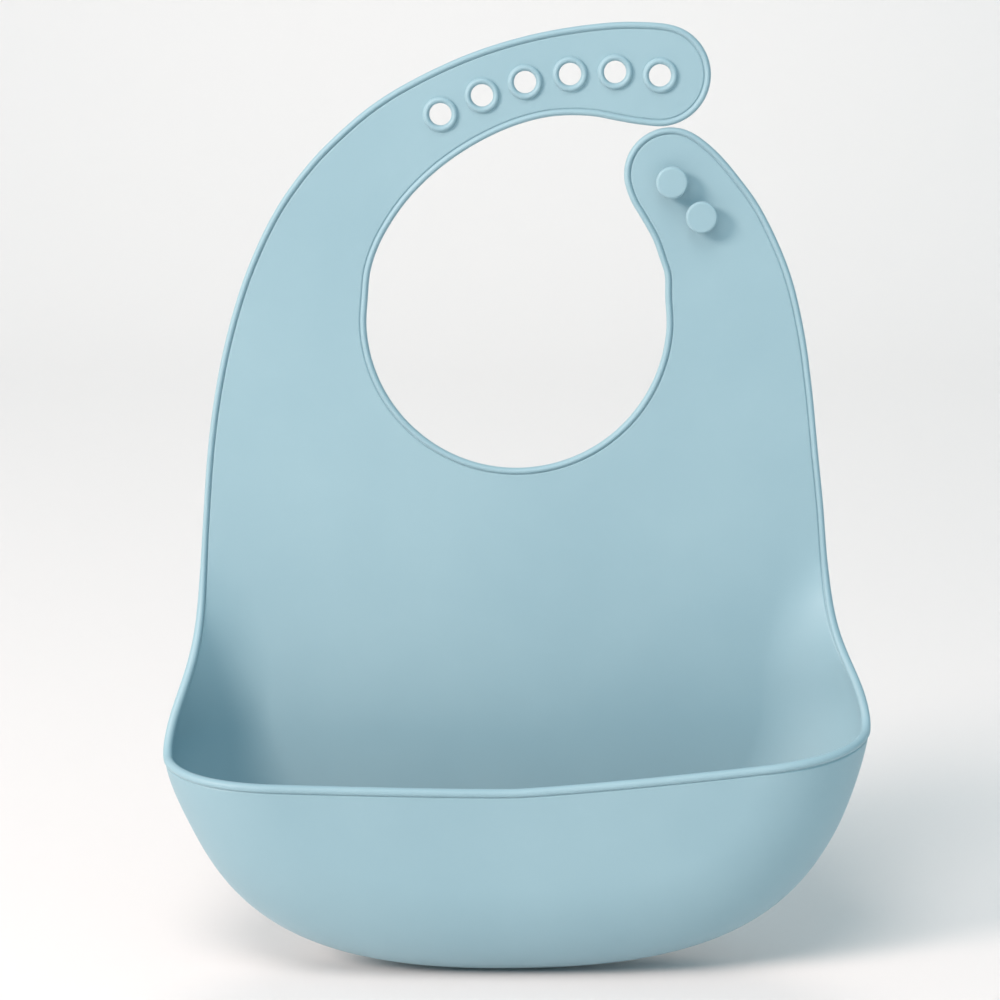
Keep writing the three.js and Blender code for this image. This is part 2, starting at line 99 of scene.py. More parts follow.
FOLD_HALF_WIDTH = 96.4  # where the sides start to curl
FOLD_SHIFT = 0.8  # the panel's middle lies this far towards the long strap at the fold
SIDE_WIDENING = 0.08  # the sides widen by this slope below the curl's start
FLARE = 6.4  # and by this much more towards the corners
FLARE_START_Z = -94

LONG_OUTER_EDGE = [
    (-98.4, -80), (-97.2, -62), (-95.3, -40), (-92.6, -21.7), (-88.4, -3.1), (-82.3, 15.4),
    (-73.4, 33.7), (-63.5, 47.3), (-54.6, 56.4), (-43.8, 65.4), (-32.2, 72.5), (-14.1, 80.8),
    (4, 86.3), (22, 89.4), (35.5, 90.2),
]
LONG_INNER_EDGE = [
    (37.3, 59.5), (31.2, 60.5), (22, 62.1), (10.3, 61.9), (0.7, 59.6), (-7.8, 56.1), (-15.4, 51.9),
    (-22.2, 47.2), (-28.2, 42), (-33.5, 36.3), (-38.1, 29.9), (-41.9, 23), (-44.5, 15.4),
]
SHORT_INNER_EDGE = [(45.2, 14), (43.8, 18.4), (41.6, 24.5), (38.2, 30.6), (34.6, 36.7)]
SHORT_OUTER_EDGE = [
    (60.2, 51.8), (68, 43), (74.6, 33.7), (83.2, 15.4), (88.1, -3.1), (91, -21.7),
    (93.1, -40), (95.6, -62), (96.8, -80),
]

# ---- small helpers ----


def smoothstep(value, low, high):
    t = np.clip((value - low) / (high - low), 0, 1)
    return t * t * (3 - 2 * t)


def circle_points(centre_x, centre_z, radius, from_degrees, to_degrees, count):
    angles = np.radians(np.linspace(from_degrees, to_degrees, count))
    return [(centre_x + radius * math.cos(a), centre_z + radius * math.sin(a)) for a in angles]


def spline(points, steps):
    """A centripetal Catmull-Rom curve through the points, each span cut into steps."""
    points = np.array(points, float)
    padded = np.vstack([2 * points[0] - points[1], points, 2 * points[-1] - points[-2]])
    share = np.linspace(0, 1, steps, endpoint=False)[:, None]
    curve = []
    for p0, p1, p2, p3 in zip(padded, padded[1:], padded[2:], padded[3:]):
        d0, d1, d2 = (math.sqrt(np.linalg.norm(b - a)) for a, b in ((p0, p1), (p1, p2), (p2, p3)))
        leave = d1 * ((p1 - p0) / d0 - (p2 - p0) / (d0 + d1) + (p2 - p1) / d1)
        arrive = d1 * ((p2 - p1) / d1 - (p3 - p1) / (d1 + d2) + (p3 - p2) / d2)
        s2, s3 = share**2, share**3
        curve.append(
            (2 * s3 - 3 * s2 + 1) * p1 + (s3 - 2 * s2 + share) * leave
            + (3 * s2 - 2 * s3) * p2 + (s3 - s2) * arrive
        )
    return np.vstack([*curve, points[-1:]])


def lengths_along(points):
    return np.concatenate([[0], np.cumsum(np.linalg.norm(np.diff(points, axis=0), axis=1))])


def resample(coordinates, places, spacing):
    """Coordinates at equal steps along the line of their places."""
    along = lengths_along(places)
    count = max(2, round(along[-1] / spacing) + 1)
    at = np.linspace(0, along[-1], count)
    return np.stack([np.interp(at, along, column) for column in coordinates.T], axis=1)


def unit(vectors):
    return vectors / np.linalg.norm(vectors, axis=-1, keepdims=True)


# ---- the widest line of the lower part: down the right side, round the pocket, up the left side ----


def half_width_at(z):
    flare = FLARE * smoothstep(-z, -FLARE_START_Z, -CORNER_Z)
    return FOLD_HALF_WIDTH + SIDE_WIDENING * (CURL_START_Z - z) + flare


def pocket_outline(angle):
    power = 2 / POCKET_ROUNDNESS
    across = np.abs(np.cos(angle)) ** power * np.sign(np.cos(angle))
    down = np.abs(np.sin(angle)) ** power
    drawn_in = 1 - POCKET_TUCK * np.sin(math.pi * down)
    return np.stack([POCKET_HALF_WIDTH * across * drawn_in, CORNER_Z - POCKET_HEIGHT * down], axis=1)


# The sides start well above the curl, so that averaging the line leaves the part in use alone.
RUN_IN = 120
SAMPLE_SPACING = 0.5
SIDE_COUNT, OUTLINE_COUNT = 500, 1200  # points, before the line is sampled evenly
side_z = np.linspace(CURL_START_Z + RUN_IN, CORNER_Z, SIDE_COUNT, endpoint=False)
side_line = np.stack([half_width_at(side_z), side_z], axis=1)
rounded = pocket_outline(np.linspace(0, math.pi, OUTLINE_COUNT))
perimeter = np.vstack([side_line, rounded, side_line[::-1] * [-1, 1]])
perimeter = resample(perimeter, perimeter, SAMPLE_SPACING)


KERNEL_REACH = 160  # samples on each side


def softened(line, spread):
    """The line averaged over its neighbours, with a bell curve of this spread in mm."""
    offsets = np.arange(-KERNEL_REACH, KERNEL_REACH + 1)
    kernel = np.exp(-0.5 * (offsets * SAMPLE_SPACING / spread) ** 2)
    kernel /= kernel.sum()
    return np.stack([np.convolve(column, kernel, mode="same") for column in line.T], axis=1)


def inward_of(line):
    """Unit directions from the line towards the middle of the bib."""
    across = unit(np.gradient(line, axis=0))
    return np.stack([across[:, 1], -across[:, 0]], axis=1)


# The line's turn at each corner is spread over little at the widest place, and over more at the flat back.
OUTER_SPREAD, BACK_SPREAD = 6, 24
UNSETTLED = KERNEL_REACH + 10  # the average is not true within this many samples of the line's ends
outer_line = softened(perimeter, OUTER_SPREAD)
back_line_soft = softened(perimeter, BACK_SPREAD)
first = int(np.argmax(outer_line[UNSETTLED:, 1] <= CURL_START_Z)) + UNSETTLED
outer_line = outer_line[first:len(outer_line) - first]
back_line_soft = back_line_soft[first:len(back_line_soft) - first]
perimeter_u = lengths_along(outer_line)
U_END = perimeter_u[-1]
outer_columns = np.hstack([outer_line, inward_of(outer_line)]).T
soft_columns = np.hstack([back_line_soft, inward_of(back_line_soft)]).T


def front_depth(z):
    return LIP_DEPTH + (FLOOR_DEPTH - LIP_DEPTH) * (CORNER_Z - z) / POCKET_HEIGHT


def lip_height(x):
    across = np.minimum(np.abs(x) / POCKET_HALF_WIDTH, 1)
    regained = LIP_SOFT * across**LIP_SOFT_POWER + LIP_STEEP * across**LIP_STEEP_POWER
    return CORNER_Z - LIP_DIP * (1 - regained)


CURL_END = 1.1  # the curl would be complete at this share of the way to the corners
LEAST_CURL = 1e-3
ROUND_FROM, ROUND_TO = 0.85, 0.97  # shares of the curl between which the side becomes the pocket's wall
PAST_FRONT = 1.2  # the front rounding's turn is held beyond this share of it


def curl_share(z):
    """How far each side has curled at a height: none where the curl starts, nearly all at the corners."""
    return smoothstep((CURL_START_Z - z) / (CURL_START_Z - CORNER_Z), 0, CURL_END)


# ---- three charts of the sheet's middle surface: coordinates to places ----


def flat_place(c):
    return np.stack([c[:, 0], np.zeros(len(c)), c[:, 1]], axis=1)


def bowl_base(c):
    """c is the length along the perimeter and the share of the section: 0 flat back, 1 widest, 2 front."""
    u, a = c[:, 0], c[:, 1]
    outer_share = smoothstep(a, 0, 1)
    x, z, inward_x, inward_z = (
        outer_share * np.interp(u, perimeter_u, outer) + (1 - outer_share) * np.interp(u, perimeter_u, soft)
        for outer, soft in zip(outer_columns, soft_columns)
    )
    inward_length = np.hypot(inward_x, inward_z)
    inward_x, inward_z = inward_x / inward_length, inward_z / inward_length
    curl = np.maximum(curl_share(z), LEAST_CURL)
    bend = math.pi / 2 * curl
    length = CURL_LENGTH * (CURL_TOP_SHARE + (1 - CURL_TOP_SHARE) * curl)
    radius = length / bend
    back, past = np.minimum(a, 1), np.maximum(a - 1, 0)
    turn = np.minimum(past, PAST_FRONT) * math.pi / 2
    straight = length * past
    round_share = smoothstep(curl, ROUND_FROM, ROUND_TO)  # 0 beside the panel, 1 in the pocket
    inside = radius * (np.sin(bend) - np.sin(bend * back))
    inside += round_share * FRONT_ROUNDING * (1 - np.cos(turn))
    inside -= (1 - round_share) * straight * np.cos(bend)
    place_z = z + inward_z * inside
    forward = radius * (1 - np.cos(bend * back))
    forward += round_share * (front_depth(place_z) - BACK_ROUNDING) * np.sin(turn)
    forward += (1 - round_share) * straight * np.sin(bend)
    return np.stack([x + inward_x * inside, -forward, place_z], axis=1)


def front_base(c):
    return np.stack([c[:, 0], -front_depth(c[:, 1]), c[:, 1]], axis=1)


def lean(places):
    """The soft lip hangs a little lower on the long strap's side; the lean fades out up and down."""
    x, y, z = places.T
    above = smoothstep(-z, -CURL_START_Z, -CORNER_Z)
    below = (1 - FLOOR_LEAN_SHARE) * smoothstep(CORNER_Z - z, 0, LEAN_FADE)
    return np.stack([x - FOLD_SHIFT * (1 - above), y, z + LEAN * x * (above - below)], axis=1)


def bowl_place(c):
    return lean(bowl_base(c))


def front_place(c):
    return lean(front_base(c))


PLACES = {"flat": flat_place, "bowl": bowl_place, "front": front_place}
# small steps in the two coordinates, for slopes
STEPS = {"flat": (0.1, 0.1), "bowl": (0.4, 0.01), "front": (0.1, 0.1)}
# the sense of the two coordinates that makes the normal point to the sheet's front
SENSE = {"flat": 1, "bowl": 1, "front": -1}
BACK, WIDEST, FRONT = 0.0, 1.0, 2.0  # shares of the bowl's section


def slopes(chart, c):
    du, dv = STEPS[chart]
    place = PLACES[chart]
    along_u = (place(c + [du, 0]) - place(c - [du, 0])) / (2 * du)
    along_v = (place(c + [0, dv]) - place(c - [0, dv])) / (2 * dv)
    return along_u, along_v


def normals_at(chart, c):
    """Unit normals on the side that is the front of the chest and the inside of the pocket."""
    along_u, along_v = slopes(chart, c)
    return SENSE[chart] * unit(np.cross(along_u, along_v))


def moved(chart, c, step):
    """Coordinates after moving by a small step in space."""
    along_u, along_v = slopes(chart, c)
    uu, uv, vv = ((p * q).sum(1) for p, q in ((along_u, along_u), (along_u, along_v), (along_v, along_v)))
    su, sv = (along_u * step).sum(1), (along_v * step).sum(1)
    det = uu * vv - uv**2
    return c + np.stack([(su * vv - sv * uv) / det, (sv * uu - su * uv) / det], axis=1)


# ---- the moulding's edge, all the way round, as charts and coordinates ----
flat_points = [
    *LONG_OUTER_EDGE,
    *circle_points(*LONG_TIP, from_degrees=72, to_degrees=-82, count=7),
    *LONG_INNER_EDGE,
    *circle_points(0, 0, NECK_RADIUS, from_degrees=171, to_degrees=369, count=17),
    *SHORT_INNER_EDGE,
    *circle_points(*SHORT_TIP, from_degrees=187, to_degrees=62, count=7),
    *SHORT_OUTER_EDGE,
]
SPAN_STEPS = 24
flat_edge = spline(flat_points, SPAN_STEPS)[SPAN_STEPS:-SPAN_STEPS]
flat_edge[0] = bowl_place(np.array([[U_END, WIDEST]]))[0, [0, 2]]
flat_edge[-1] = bowl_place(np.array([[0.0, WIDEST]]))[0, [0, 2]]


HALVINGS = 40


def lip_coordinates(a):
    """Where the lip crosses the bowl at section share a, on the right, found by halving the range."""
    low, high = np.zeros_like(a), np.full_like(a, U_END / 2)
    for _ in range(HALVINGS):
        middle = (low + high) / 2
        x, _, z = bowl_base(np.stack([middle, a], axis=1)).T
        above = z > lip_height(x)
        low, high = np.where(above, middle, low), np.where(above, high, middle)
    return np.stack([low, a], axis=1)


CORNER_TURN = 8.0  # mm of edge on each side of a pocket corner that turn from side to lip
FRONT_LENGTH = 45.7  # mm of section per share of it, in front of the widest line
SIDE_POINTS, TURN_POINTS, LIP_POINTS = 80, 60, 120  # before each part is sampled evenly
FLAT_SPACING, SIDE_SPACING, TURN_SPACING, LIP_SPACING = 1.3, 1.5, 0.6, 1.2  # mm of edge per sample
FRONT_SAMPLES = 90
corner = lip_coordinates(np.array([WIDEST]))[0]
side_end = corner - [CORNER_TURN, 0]
lip_start = lip_coordinates(np.array([WIDEST + CORNER_TURN / FRONT_LENGTH]))[0]
share = np.linspace(0, 1, TURN_POINTS)[:, None]
turn_line = (1 - share) ** 2 * side_end + 2 * share * (1 - share) * corner + share**2 * lip_start
side_u = np.linspace(0, side_end[0], SIDE_POINTS)
side_coordinates = np.stack([side_u, np.full(SIDE_POINTS, WIDEST)], axis=1)
lip_line = lip_coordinates(np.linspace(lip_start[1], FRONT, LIP_POINTS))


def bowl_samples(coordinates, spacing):
    return resample(coordinates, bowl_place(coordinates), spacing)


right_side = [
    bowl_samples(side_coordinates, SIDE_SPACING),
    bowl_samples(turn_line, TURN_SPACING),
    bowl_samples(lip_line, LIP_SPACING),
]
left_side = [(part * [-1, 1] + [U_END, 0])[::-1] for part in reversed(right_side)]
MOUTH_X = float(bowl_base(lip_line[-1:])[0, 0])
front_x = np.linspace(MOUTH_X, -MOUTH_X, FRONT_SAMPLES)
front_line = np.stack([front_x, lip_height(front_x)], axis=1)

edge_chart, edge_c = [], []
for chart, part in (
    ("flat", resample(flat_edge, flat_edge, FLAT_SPACING)),
    *(("bowl", part) for part in right_side),
    ("front", front_line),
    *(("bowl", part) for part in left_side),
):
    # each part leaves out its last sample, which is the next part's first
    edge_chart += [chart] * (len(part) - 1)
    edge_c.append(part[:-1])
edge_c = np.vstack(edge_c)
edge_chart = np.array(edge_chart)
EDGE_COUNT = len(edge_c)


def by_chart(action, *columns):
    """Does action(chart, rows of each column) for each chart's edge samples, and joins the results."""
    made = None
    for chart in PLACES:
        rows = edge_chart == chart
        part = action(chart, *(column[rows] for column in columns))
        if made is None:
            made = np.zeros((EDGE_COUNT, part.shape[1]))
        made[rows] = part
    return made


edge_place = by_chart(lambda chart, c: PLACES[chart](c), edge_c)
edge_tangent = unit(np.roll(edge_place, -1, axis=0) - np.roll(edge_place, 1, axis=0))
edge_normal = by_chart(normals_at, edge_c)
edge_inward = unit(np.cross(edge_tangent, edge_normal))


def inside_edge(distance):
    """Coordinates, places and normals at a distance in from the edge, along the sheet's middle."""
    c = by_chart(moved, edge_c, edge_inward * distance)
    return c, by_chart(lambda chart, c: PLACES[chart](c), c), by_chart(normals_at, c)


# ---- the skin: vertices with their normals, and triangles with the name of their chart ----
skin_places, skin_normals, skin_faces, skin_tags = [], [], [], []
vertex_count = 0


def add_vertices(places, normals):
    global vertex_count
    skin_places.append(places)
    skin_normals.append(normals)
    vertex_count += len(places)
    return np.arange(vertex_count - len(places), vertex_count)


def add_sheet_points(places, normals):
    """A pair of vertices, front and back, for each point of the sheet's middle."""
    front = add_vertices(places + HALF_SHEET * normals, normals)
    back = add_vertices(places - HALF_SHEET * normals, -normals)
    return np.stack([front, back], axis=1)


def add_faces(faces, tag):
    skin_faces.append(faces)
    skin_tags.extend([tag] * len(faces))


# The strip along the edge: sheet front, a groove, the rounded bead, a groove and sheet back.
STRIP_WIDTH = 4.4
GROOVE_DEPTH, GROOVE_SPREAD = 0.36, 0.3
BEAD_HALF_WIDTH, LIP_HALF_WIDTH = 1.02, 1.3
GROOVE_MIDDLE = -0.1  # the groove is deepest this far from the crease, under the bead
CREASE_TURN = 0.12  # radians of the bead's section between the crease and its first free point
BEAD_POINTS = 16  # free points round the bead's section
lip_share = smoothstep(-edge_place[:, 2:], -CURL_START_Z, -CORNER_Z)
half_width = BEAD_HALF_WIDTH + (LIP_HALF_WIDTH - BEAD_HALF_WIDTH) * lip_share
crease_angle = math.asin((HALF_SHEET - GROOVE_DEPTH) / BEAD_RADIUS)
crease_w = half_width * (1 + math.cos(crease_angle))
from_crease = np.array([1.0, 0.6, 0.35, 0.15])
from_middle = from_crease - GROOVE_MIDDLE
dent = GROOVE_DEPTH * np.exp(-((from_middle / GROOVE_SPREAD) ** 2))
sheet_h = HALF_SHEET - dent
sheet_rise = dent * 2 * from_middle / GROOVE_SPREAD**2
bead_start = crease_angle + CREASE_TURN
bead_angles = np.linspace(bead_start, 2 * math.pi - bead_start, BEAD_POINTS)

strip_c, strip_place, strip_normal = inside_edge(STRIP_WIDTH)
strip_ids = add_sheet_points(strip_place, strip_normal)
columns = [strip_ids[:, 0]]
back_columns = [strip_ids[:, 1]]
for beyond_crease, h, rise in zip(from_crease, sheet_h, sheet_rise):
    _, place, normal = inside_edge(crease_w + beyond_crease)
    for side, found in ((1, columns), (-1, back_columns)):
        lifted = place + side * h * normal
        found.append(add_vertices(lifted, unit(side * normal - rise * edge_inward)))
_, bead_centre, bead_normal = inside_edge(half_width)
bead_inward = unit(np.cross(edge_tangent, bead_normal))
for angle in (crease_angle, *bead_angles, -crease_angle):
    across, up = math.cos(angle) * bead_inward, math.sin(angle) * bead_normal
    facing = unit(across / half_width + up / BEAD_RADIUS)
    if abs(angle) == crease_angle:
        facing = unit(facing + math.copysign(1, angle) * bead_normal)
    columns.append(add_vertices(bead_centre + half_width * across + BEAD_RADIUS * up, facing))
columns += back_columns[::-1]
strip = np.stack(columns, axis=1)
here, ahead = strip, np.roll(strip, -1, axis=0)
quads = np.stack([here[:, :-1], here[:, 1:], ahead[:, 1:], ahead[:, :-1]], axis=2)
for chart in PLACES:
    part = quads[edge_chart == chart].reshape(-1, 4)
    add_faces(part[:, [0, 1, 2]], chart)
    add_faces(part[:, [0, 2, 3]], chart)


def within(points, loop):
    """Whether each point is inside the closed line."""
    x, y = points.T
    inside = np.zeros(len(points), bool)
    for (x0, y0), (x1, y1) in zip(loop, np.roll(loop, -1, axis=0)):
        if y0 != y1:
            crosses = (y0 > y) != (y1 > y)
            inside ^= crosses & (x < (x1 - x0) * (y - y0) / (y1 - y0) + x0)
    return inside


BLOCK = 2000  # points compared at a time, to save memory


def clear_of(points, loop, distance):
    """Whether each point keeps its distance from the points of a line."""
    keep = np.ones(len(points), bool)
    for start in range(0, len(points), BLOCK):
        block = points[start:start + BLOCK]
        gaps = np.linalg.norm(block[:, None] - loop[None], axis=2)
        keep[start:start + BLOCK] = gaps.min(axis=1) > distance
    return keep


def with_middles(loop):
    return np.vstack([loop, (loop + np.roll(loop, -1, axis=0)) / 2])


WHOLE_HULL, SAME_POINT = 0, 1e-6  # the triangulation's extent, and how close points are taken as one


def fill(outline, holes, grid, spacing):
    """Triangles over the outline less its holes: indices into outline, holes and the kept grid points."""
    kept = within(grid, outline) & clear_of(grid, with_middles(outline), spacing)
    for hole in holes:
        kept &= ~within(grid, hole) & clear_of(grid, with_middles(hole), spacing)
    grid = grid[kept]
    loops = [outline, *holes]
    points = np.vstack([*loops, grid])
    edges, first = [], 0
    for loop in loops:
        edges += [(first + i, first + (i + 1) % len(loop)) for i in range(len(loop))]
        first += len(loop)
    vectors = [Vector(p) for p in points]
    made, _, faces, origins, _, _ = delaunay_2d_cdt(vectors, edges, [], WHOLE_HULL, SAME_POINT)
    assert len(made) == len(points)
    index = np.array([o[0] for o in origins])
    faces = index[np.array(faces)]
    middles = points[faces].mean(axis=1)
    inside = within(middles, outline)
    for hole in holes:
        inside &= ~within(middles, hole)
    return faces[inside], grid


def add_region(tag, outline, outline_ids, holes, hole_ids, grid, spacing, scale=(1, 1)):
    """Fills a region of the sheet, front and back. The tag names its chart, and the outlines and the grid
    are in that chart's coordinates; scale turns them into mm for even triangles."""
    scale = np.array(scale, float)
    faces, kept = fill(outline * scale, [hole * scale for hole in holes], grid * scale, spacing)
    kept = kept / scale
    inner_ids = add_sheet_points(PLACES[tag](kept), normals_at(tag, kept))
    ids = np.vstack([outline_ids, *hole_ids, inner_ids])
    for side in (0, 1):
        add_faces(ids[:, side][faces], tag)


def parts_of(chart):
    """The runs of edge samples of a chart, as index arrays."""
    rows = np.flatnonzero(edge_chart == chart)
    cuts = np.flatnonzero(np.diff(rows) > 1) + 1
    return np.split(rows, cuts)


flat_run = parts_of("flat")[0]
right_run, left_run = parts_of("bowl")
front_run = parts_of("front")[0]
left_run_end = (left_run[-1] + 1) % EDGE_COUNT

# Lines that regions share: seams across at the curl's start, and the inner ends of the bowl's sections
SEAM_POINTS, BACK_POINTS, FRONT_STEP = 13, 148, 3
edge_share = strip_c[right_run[0], 1]
seam_shares = np.linspace(edge_share, BACK, SEAM_POINTS + 1)[1:]
right_seam = np.stack([np.zeros(SEAM_POINTS), seam_shares], axis=1)
left_seam = right_seam * [-1, 1] + [U_END, 0]
back_u = np.linspace(0, U_END, BACK_POINTS + 2)[1:-1]
back_line = np.stack([back_u, np.full(BACK_POINTS, BACK)], axis=1)


def add_line(chart, c):
    return add_sheet_points(PLACES[chart](c), normals_at(chart, c))


right_seam_ids, left_seam_ids = add_line("bowl", right_seam), add_line("bowl", left_seam)
back_ids = add_line("bowl", back_line)

u_right = strip_c[front_run[0] - 1, 0] + FRONT_STEP
front_u = np.linspace(u_right, U_END - u_right, round((U_END - 2 * u_right) / FRONT_STEP))
front_section = np.stack([front_u, np.full(len(front_u), FRONT)], axis=1)
front_ids = add_line("bowl", front_section)


def grid_of(low, high, step):
    """A triangular grid of points over a rectangle, with different steps along the two axes."""
    xs, ys = np.arange(low[0], high[0], step[0]), np.arange(low[1], high[1], step[1])
    x, y = np.meshgrid(xs, ys)
    x = x + (np.arange(len(ys)) % 2)[:, None] * step[0] / 2
    return np.stack([x.ravel(), y.ravel()], axis=1)


def in_place(ids):
    """The middle of the sheet at pairs of vertices, as x and z."""
    places = np.vstack(skin_places)
    return places[ids].mean(axis=1)[:, [0, 2]]


def centre_of(name):
    """The middle of one of the frame's solids, as x and z in mm."""
    low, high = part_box(name)
    middle = (low + high) / 2 / MM
    return middle.x, middle.z


# The flat back sheet, with a hole under each eyelet's rim
EYELET_HOLE_UNDER_RIM = 4.6
eyelet_names = [f"eyelet_{i}" for i in range(1, 7)]
eyelet_centres = [centre_of(name) for name in eyelet_names]
holes = [
    np.array(circle_points(*centre, EYELET_HOLE_UNDER_RIM, from_degrees=0, to_degrees=352, count=45))
    for centre in eyelet_centres
]
hole_ids = [add_line("flat", hole) for hole in holes]
flat_ids = np.vstack([
    strip_ids[flat_run], strip_ids[right_run[:1]], right_seam_ids, back_ids, left_seam_ids[::-1],
])
PANEL_STEP, FOLD_STEP, STRAP_STEP = 3.4, 1.3, 1.7
FOLD_LOW_Z, FOLD_HIGH_Z, STRAPS_LOW_Z = -72, -48, 2  # heights where the grid's step changes
BAND_GAP = 1.5
PANEL_X, WIDE_X, LOWEST_Z, HIGHEST_Z = 100, 110, -210, 95  # the grids reach past the sheet
panel_grid = [
    grid_of((-PANEL_X, FOLD_HIGH_Z + BAND_GAP), (PANEL_X, STRAPS_LOW_Z), (PANEL_STEP, PANEL_STEP)),
    grid_of((-PANEL_X, FOLD_LOW_Z), (PANEL_X, FOLD_HIGH_Z), (PANEL_STEP, FOLD_STEP)),
    grid_of((-WIDE_X, LOWEST_Z), (WIDE_X, FOLD_LOW_Z - BAND_GAP), (PANEL_STEP, PANEL_STEP)),
    grid_of((-WIDE_X, STRAPS_LOW_Z + BAND_GAP), (WIDE_X, HIGHEST_Z), (STRAP_STEP, STRAP_STEP)),
]
add_region(
    "flat", in_place(flat_ids), flat_ids, holes, hole_ids, np.vstack(panel_grid), spacing=1.2,
)

# The curling sides and the pocket's floor and side walls
bowl_ids = np.vstack([
    strip_ids[right_run], strip_ids[front_run[:1]], front_ids, strip_ids[left_run],
    strip_ids[left_run_end:left_run_end + 1], left_seam_ids, back_ids[::-1], right_seam_ids[::-1],
])
end_c = [U_END, strip_c[left_run[-1], 1]]
start_c = [0, edge_share]
bowl_outline = np.vstack([
    start_c, strip_c[right_run[1:]],
    [u_right - FRONT_STEP, FRONT], front_section, [U_END - u_right + FRONT_STEP, FRONT],
    strip_c[left_run[1:]], [end_c], left_seam, back_line[::-1], right_seam[::-1],
])
BOWL_STEP_U, BOWL_STEP_A, FIRST_SHARE = 2.6, 2.3 / CURL_LENGTH, 0.03
bowl_grid = grid_of((BOWL_STEP_U / 2, FIRST_SHARE), (U_END, FRONT), (BOWL_STEP_U, BOWL_STEP_A))
add_region("bowl", bowl_outline, bowl_ids, [], [], bowl_grid, spacing=1.3, scale=(1, CURL_LENGTH))

# The flat front wall
front_outline_ids = np.vstack([strip_ids[front_run], strip_ids[left_run[:1]], front_ids[::-1]])
front_outline = np.vstack([
    strip_c[front_run], bowl_base(np.vstack([strip_c[left_run[:1]], front_section[::-1]]))[:, [0, 2]],
])
WALL_X, WALL_LOW_Z, WALL_HIGH_Z, WALL_STEP = 90, -190, -120, 4
front_grid = grid_of((-WALL_X, WALL_LOW_Z), (WALL_X, WALL_HIGH_Z), (WALL_STEP, WALL_STEP))
add_region("front", front_outline, front_outline_ids, [], [], front_grid, spacing=1.6)

# ---- the skin as one mesh ----
places = np.vstack(skin_places)
normals = unit(np.vstack(skin_normals))
faces = np.vstack(skin_faces)
tags = np.array(skin_tags)
corners = places[faces]
across = np.cross(corners[:, 1] - corners[:, 0], corners[:, 2] - corners[:, 0])
turned_in = (across * normals[faces].sum(axis=1)).sum(axis=1) < 0
faces[turned_in] = faces[turned_in][:, ::-1]

# ---- pieces: the skin parted into zones, each riding on a body or lying across a bend between two ----
middles = places[faces].mean(axis=1)
middle_x, _, middle_z = middles.T


def hinge(name):
    """A hinge's place in mm and its axis."""
    joint = next(j for j in frame["joints"] if j["name"] == name)
    return np.array(joint["pos_m"]) / MM, np.array(joint["axis"])


def beyond(name, along):
    """How far each face is past a hinge, along a direction square to its axis."""
    place, _ = hinge(name)
    return (middles - place) @ along


def past_strap_bend(name):
    """The direction across a strap's bend line, towards the strap's tip."""
    _, axis = hinge(name)
    return unit(np.array([axis[2], 0.0, -axis[0]]))


UP, DOWN = np.array([0.0, 0.0, 1.0]), np.array([0.0, 0.0, -1.0])
toward_middle, toward_tip = past_strap_bend("long_middle_bend"), past_strap_bend("long_tip_bend")
below_fold = beyond("panel_fold", DOWN)
above_root = beyond("long_root_bend", UP)
past_middle_bend = beyond("long_middle_bend", toward_middle)
past_tip_bend = beyond("long_tip_bend", toward_tip)

# Half widths of the bends, and the same with a margin, where the pieces part
FOLD_REACH, ROOT_REACH, MIDDLE_REACH, TIP_REACH, MARGIN = 9.0, 10.0, 6.5, 4.5, 1.8
# Midway between the long tip's lowest point and the short tip's highest
BETWEEN_TIPS_Z = (LONG_TIP[1] - LONG_TIP[2] + SHORT_TIP[1] + SHORT_TIP[2]) / 2

# The pocket's front bends between these depths, measured square to its slanting front wall
FLEX_FROM_DEPTH, FLEX_TO_DEPTH = 28.0, 50.2
front_slope = (LIP_DEPTH - FLOOR_DEPTH) / POCKET_HEIGHT
forward = unit(np.array([0.0, -1.0, -front_slope]))
flex_start = np.array([0.0, -FLEX_FROM_DEPTH, CORNER_Z])
flex_end = np.array([0.0, -FLEX_TO_DEPTH, CORNER_Z])
flex_end = flex_start + forward * ((flex_end - flex_start) @ forward)

BETWEEN_STRAPS_X = 26
on_long = (middle_x < BETWEEN_STRAPS_X) | (middle_z > BETWEEN_TIPS_Z)
on_left = middle_x < 0
up_straps = above_root > ROOT_REACH + MARGIN
across_root = np.abs(above_root) <= ROOT_REACH + MARGIN
across_fold = np.abs(below_fold) <= FOLD_REACH + MARGIN
FLOOR_FROM_Z = -110  # above here the sides keep still when the pocket's front flexes
zone_rules = [
    ("chest", below_fold < 0),
    ("belly", below_fold > 0),
    ("belly_fold", across_fold),
    ("pocket_floor", (tags == "bowl") & (middle_z < FLOOR_FROM_Z)),
    ("pocket_front", tags == "front"),
    ("long_strap_base", across_root & on_left),
    ("short_strap_base", across_root & ~on_left),
    ("short_strap", up_straps & ~on_long),
    ("long_strap_root", up_straps & on_long),
    ("long_strap_first_bend", up_straps & on_long & (past_middle_bend > -MIDDLE_REACH - MARGIN)),
    ("long_strap_middle", up_straps & on_long & (past_middle_bend > MIDDLE_REACH + MARGIN)),
    ("long_strap_second_bend", up_straps & on_long & (past_tip_bend > -TIP_REACH - MARGIN)),
    ("long_strap_tip", up_straps & on_long & (past_tip_bend > TIP_REACH + MARGIN)),
]
zone = np.full(len(faces), "", dtype=object)
for name, rows in zone_rules:
    zone[rows] = name


def make_piece(name, piece_places, piece_faces, piece_normals, material):
    """A smooth-shaded mesh object, from places in mm."""
    mesh = bpy.data.meshes.new(name)
    mesh.from_pydata((piece_places * MM).tolist(), [], np.asarray(piece_faces).tolist())
    mesh.polygons.foreach_set("use_smooth", np.ones(len(piece_faces), bool))
    mesh.normals_split_custom_set_from_vertices(piece_normals.tolist())
    mesh.materials.append(material)
    made = bpy.data.objects.new(name, mesh)
    bpy.context.scene.collection.objects.link(made)
    return made


